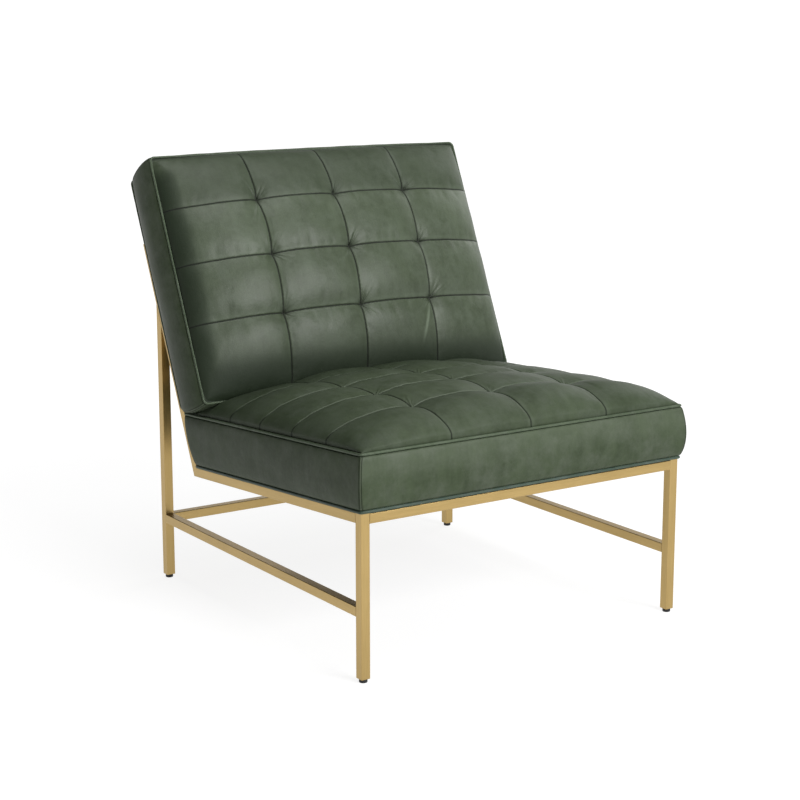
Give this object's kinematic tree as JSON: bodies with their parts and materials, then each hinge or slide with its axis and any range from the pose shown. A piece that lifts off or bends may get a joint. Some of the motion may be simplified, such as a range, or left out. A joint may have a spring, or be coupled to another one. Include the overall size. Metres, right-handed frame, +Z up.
{
  "type": "lounge chair",
  "caption": "Armless lounge chair: tufted green leather seat and back on a square brass tube frame with stretchers and screw-in levelling feet.",
  "frame": {"origin": "on the floor, in the middle of the chair's overall width and depth", "axes": "+Z up; -Y the way a sitter faces, the chair's front; +X to the right as seen from the front"},
  "size_m": [0.744, 0.8496, 0.8517],
  "materials": {
    "brass_tube": "satin brushed, brass-plated steel",
    "black_plastic": "moulded, matte",
    "zinc_steel": "zinc plated",
    "panel_leather": "satin, lightly creased",
    "boxing_leather": "satin",
    "welt_leather": "satin",
    "plywood": "sanded birch plywood",
    "foam": "open-cell polyurethane foam",
    "black_cloth": "woven, matte",
    "twine": "twisted cord"
  },
  "bodies": {
    "chair": {"front_leg_left": "brass_tube", "front_leg_right": "brass_tube", "rear_leg_left": "brass_tube", "rear_leg_right": "brass_tube", "seat_rail_left": "brass_tube", "seat_rail_right": "brass_tube", "seat_rail_front": "brass_tube", "seat_rail_rear": "brass_tube", "back_post_left": "brass_tube", "back_post_right": "brass_tube", "back_rail_top": "brass_tube", "stretcher_left": "brass_tube", "stretcher_right": "brass_tube", "stretcher_rear": "brass_tube", "seat_tabs": "brass_tube", "back_tabs": "brass_tube", "leg_plugs": "black_plastic", "seat_deck": "plywood", "seat_foam": "foam", "seat_top_cover": "panel_leather", "seat_boxing": "boxing_leather", "seat_top_welt": "welt_leather", "seat_bottom_welt": "welt_leather", "seat_dust_cover": "black_cloth", "seat_tuft_ties": "twine", "seat_screws": "zinc_steel", "seat_tee_nuts": "zinc_steel", "back_panel": "plywood", "back_foam": "foam", "back_front_cover": "panel_leather", "back_boxing": "boxing_leather", "back_front_welt": "welt_leather", "back_rear_welt": "welt_leather", "back_outside_cover": "boxing_leather", "back_tuft_ties": "twine", "back_screws": "zinc_steel", "back_tee_nuts": "zinc_steel"},
    "foot_front_left": {"pad_front_left": "black_plastic"},
    "screw_front_left": {"stem_front_left": "zinc_steel"},
    "foot_front_right": {"pad_front_right": "black_plastic"},
    "screw_front_right": {"stem_front_right": "zinc_steel"},
    "foot_rear_left": {"pad_rear_left": "black_plastic"},
    "screw_rear_left": {"stem_rear_left": "zinc_steel"},
    "foot_rear_right": {"pad_rear_right": "black_plastic"},
    "screw_rear_right": {"stem_rear_right": "zinc_steel"}
  },
  "joints": [
    {"name": "foot_front_left_slide", "type": "slide", "parent": "chair", "child": "foot_front_left", "axis": [0, 0, -1], "range_m": [0, 0.01]},
    {"name": "screw_front_left_turn", "type": "hinge", "parent": "foot_front_left", "child": "screw_front_left", "pos_m": [-0.346, -0.40134, 0.01], "axis": [0, 0, -1], "range_deg": [0, 2880]},
    {"name": "foot_front_right_slide", "type": "slide", "parent": "chair", "child": "foot_front_right", "axis": [0, 0, -1], "range_m": [0, 0.01]},
    {"name": "screw_front_right_turn", "type": "hinge", "parent": "foot_front_right", "child": "screw_front_right", "pos_m": [0.346, -0.40134, 0.01], "axis": [0, 0, -1], "range_deg": [0, 2880]},
    {"name": "foot_rear_left_slide", "type": "slide", "parent": "chair", "child": "foot_rear_left", "axis": [0, 0, -1], "range_m": [0, 0.01]},
    {"name": "screw_rear_left_turn", "type": "hinge", "parent": "foot_rear_left", "child": "screw_rear_left", "pos_m": [-0.346, 0.32887, 0.01], "axis": [0, 0, -1], "range_deg": [0, 2880]},
    {"name": "foot_rear_right_slide", "type": "slide", "parent": "chair", "child": "foot_rear_right", "axis": [0, 0, -1], "range_m": [0, 0.01]},
    {"name": "screw_rear_right_turn", "type": "hinge", "parent": "foot_rear_right", "child": "screw_rear_right", "pos_m": [0.346, 0.32887, 0.01], "axis": [0, 0, -1], "range_deg": [0, 2880]}
  ],
  "couplings": [
    {"joint": "screw_front_left_turn", "follows": "foot_front_left_slide", "rad_per_m": 5026.5},
    {"joint": "screw_front_right_turn", "follows": "foot_front_right_slide", "rad_per_m": 5026.5},
    {"joint": "screw_rear_left_turn", "follows": "foot_rear_left_slide", "rad_per_m": 5026.5},
    {"joint": "screw_rear_right_turn", "follows": "foot_rear_right_slide", "rad_per_m": 5026.5}
  ]
}
